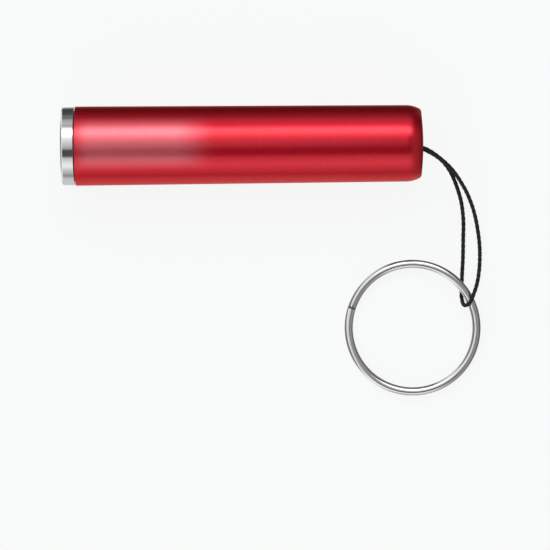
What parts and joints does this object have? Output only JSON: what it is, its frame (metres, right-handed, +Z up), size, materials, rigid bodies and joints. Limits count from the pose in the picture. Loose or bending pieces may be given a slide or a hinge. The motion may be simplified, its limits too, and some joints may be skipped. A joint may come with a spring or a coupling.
{
  "type": "keychain flashlight",
  "caption": "Slim turned aluminium keychain flashlight with a screw-in chrome head, a closed rounded tail, a thin braided cord loop and a split ring.",
  "frame": {"origin": "middle of the flashlight body (barrel and head, without the cord loop and split ring), on the surface that it lies on", "axes": "+X along the barrel axis from the head to the tail, +Z up, so the cord loop and split ring lie towards -Y"},
  "size_m": [0.078, 0.0543, 0.0146],
  "materials": {
    "anodised_barrel": "satin red anodised",
    "chrome": "mirror plated",
    "ring_steel": "bright nickel-plated spring steel",
    "cell_steel": "nickel-plated steel",
    "spring_steel": "bright spring wire",
    "contact_brass": "gold-flashed contact",
    "reflector_metal": "vacuum metallised",
    "clear_plastic": "polished clear",
    "seal_rubber": "matt",
    "board_green": "solder-masked board",
    "board_white": "white solder-masked metal board",
    "black_plastic": "moulded matt",
    "white_plastic": "moulded matt",
    "phosphor": "yellow phosphor in a white package",
    "sleeve_card": "plain card tube",
    "cell_jacket": "plain printed film, no text",
    "cell_mix": "pressed manganese dioxide and zinc mix",
    "foam": "open-cell foam",
    "braided_cord": "black braid"
  },
  "bodies": {
    "barrel": {"barrel": "anodised_barrel", "foam_ring": "foam", "battery_positive_cap": "cell_steel", "battery_seal_ring": "black_plastic", "battery_can": "cell_steel", "battery_core": "cell_mix", "battery_jacket": "cell_jacket", "battery_sleeve": "sleeve_card", "tail_spring": "spring_steel", "spring_plate": "contact_brass", "knot_cup": "black_plastic"},
    "head_seal": {"head_o_ring": "seal_rubber"},
    "head": {"head_shell": "chrome", "lens_gasket": "seal_rubber", "lens": "clear_plastic", "reflector": "reflector_metal", "led_spacer": "white_plastic", "led_package": "phosphor", "led_dome": "clear_plastic", "led_board": "board_white", "driver_inductor": "black_plastic", "driver_chip": "black_plastic", "driver_capacitor": "contact_brass", "positive_lead": "contact_brass", "negative_lead": "contact_brass", "driver_board": "board_green", "contact_button": "contact_brass", "retaining_ring": "contact_brass"},
    "cord": {"cord_knot": "braided_cord", "cord_loop": "braided_cord"},
    "ring": {"split_ring": "ring_steel"}
  },
  "joints": [
    {"name": "head_travel", "type": "slide", "parent": "barrel", "child": "head_seal", "axis": [-1, 0, 0], "range_m": [-0.00015, 0.00475]},
    {"name": "head_twist", "type": "hinge", "parent": "head_seal", "child": "head", "pos_m": [-0.0325, 0, 0.00731], "axis": [-1, 0, 0], "range_deg": [-54, 1710]},
    {"name": "cord_swivel", "type": "hinge", "parent": "barrel", "child": "cord", "pos_m": [0.03352, 0, 0.00731], "axis": [-1, 0, 0], "continuous": true},
    {"name": "ring_swing", "type": "hinge", "parent": "cord", "child": "ring", "pos_m": [0.04132, -0.02763, 0.00192], "axis": [-0.5591, 0.8291, 0], "range_deg": [0, 110]}
  ],
  "couplings": [
    {"joint": "head_travel", "follows": "head_twist", "m_per_rad": 0.00015915}
  ]
}
